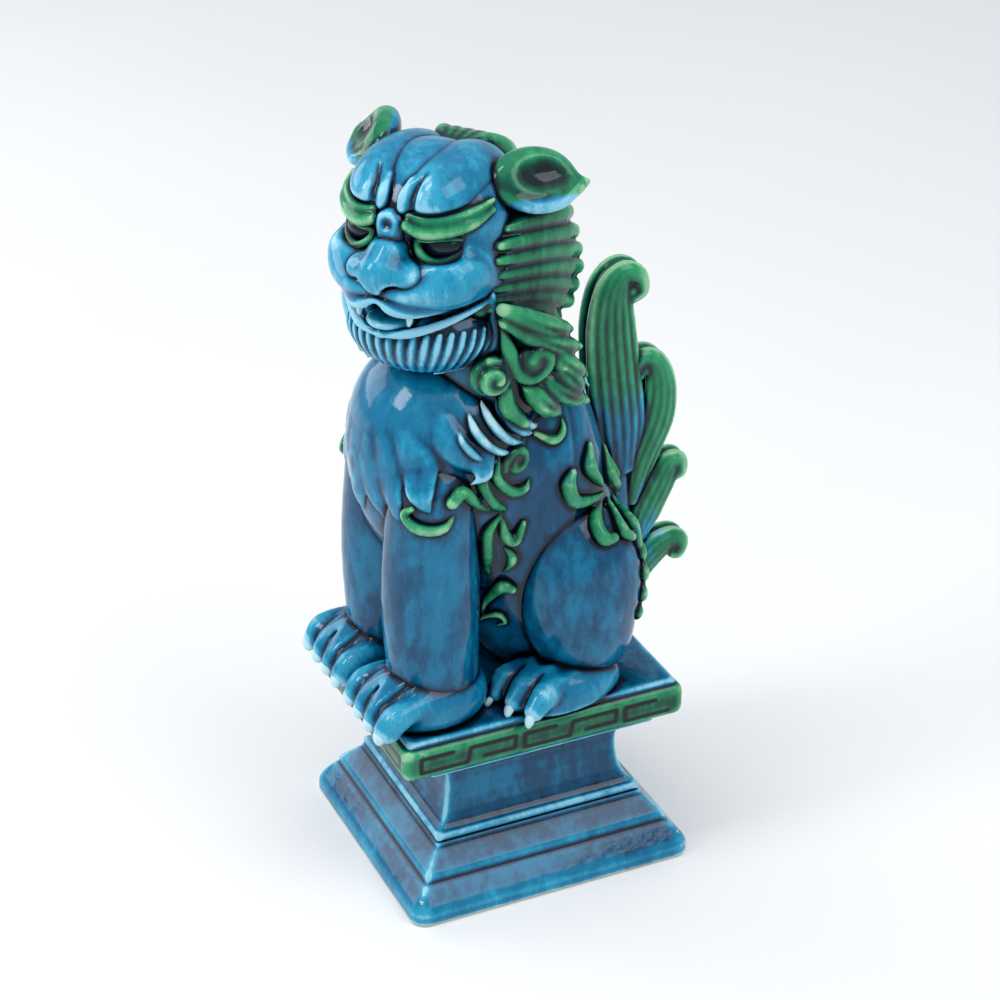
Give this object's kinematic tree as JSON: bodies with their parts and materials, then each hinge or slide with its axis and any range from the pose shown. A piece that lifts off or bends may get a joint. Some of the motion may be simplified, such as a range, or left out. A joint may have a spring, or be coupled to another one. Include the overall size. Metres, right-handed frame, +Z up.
{
  "type": "foo dog statue",
  "caption": "Seated guardian lion on a stepped rectangular plinth, glazed earthenware, head turned to its left, curled mane and fronded tail.",
  "frame": {"origin": "centre of the whole figure's footprint, on the plane of the foot rim that it rests on", "axes": "+Z up, -Y towards the front that the body faces, +X to the lion's own left"},
  "size_m": [0.1, 0.1353, 0.2804],
  "materials": {
    "turquoise_glaze": "gloss glaze, dark blue where it pools and pale on ridges",
    "green_glaze": "gloss copper-green glaze over the turquoise",
    "pale_glaze": "thin pale blue gloss glaze",
    "dark_glaze": "thick near-black gloss glaze"
  },
  "bodies": {
    "root": {"foot_moulding": "turquoise_glaze", "plinth_neck": "turquoise_glaze", "top_slab": "green_glaze", "ground_plate": "turquoise_glaze", "torso": "turquoise_glaze", "chest_bib": "turquoise_glaze", "neck_mane": "turquoise_glaze", "foreleg_left": "turquoise_glaze", "foreleg_right": "turquoise_glaze", "forepaw_left": "turquoise_glaze", "forepaw_right": "turquoise_glaze", "foreclaws": "pale_glaze", "haunch_left": "turquoise_glaze", "haunch_right": "turquoise_glaze", "hindpaw_left": "turquoise_glaze", "hindpaw_right": "turquoise_glaze", "hindclaws": "pale_glaze", "cranium": "turquoise_glaze", "forehead_lobes": "turquoise_glaze", "brow_left": "green_glaze", "brow_right": "green_glaze", "brow_bead": "turquoise_glaze", "eyeball_left": "dark_glaze", "eyeball_right": "dark_glaze", "eyelid_left": "green_glaze", "eyelid_right": "green_glaze", "nose": "turquoise_glaze", "upper_lip": "turquoise_glaze", "lower_jaw": "turquoise_glaze", "beard": "turquoise_glaze", "tongue": "green_glaze", "fangs": "pale_glaze", "ear_left": "green_glaze", "ear_right": "green_glaze", "crest": "green_glaze", "mane_fan_left": "green_glaze", "mane_fan_right": "green_glaze", "mane_skirt_left": "green_glaze", "mane_skirt_right": "green_glaze", "mane_back": "turquoise_glaze", "neck_curls_left": "green_glaze", "neck_curls_right": "green_glaze", "shoulder_locks_left": "pale_glaze", "shoulder_locks_right": "pale_glaze", "leg_scrolls_left": "green_glaze", "leg_scrolls_right": "green_glaze", "hip_flames_left": "green_glaze", "hip_flames_right": "green_glaze", "tail_root": "turquoise_glaze", "tail_frond_top": "green_glaze", "tail_frond_upper": "green_glaze", "tail_frond_lower": "green_glaze", "tail_frond_base": "green_glaze"}
  },
  "joints": []
}
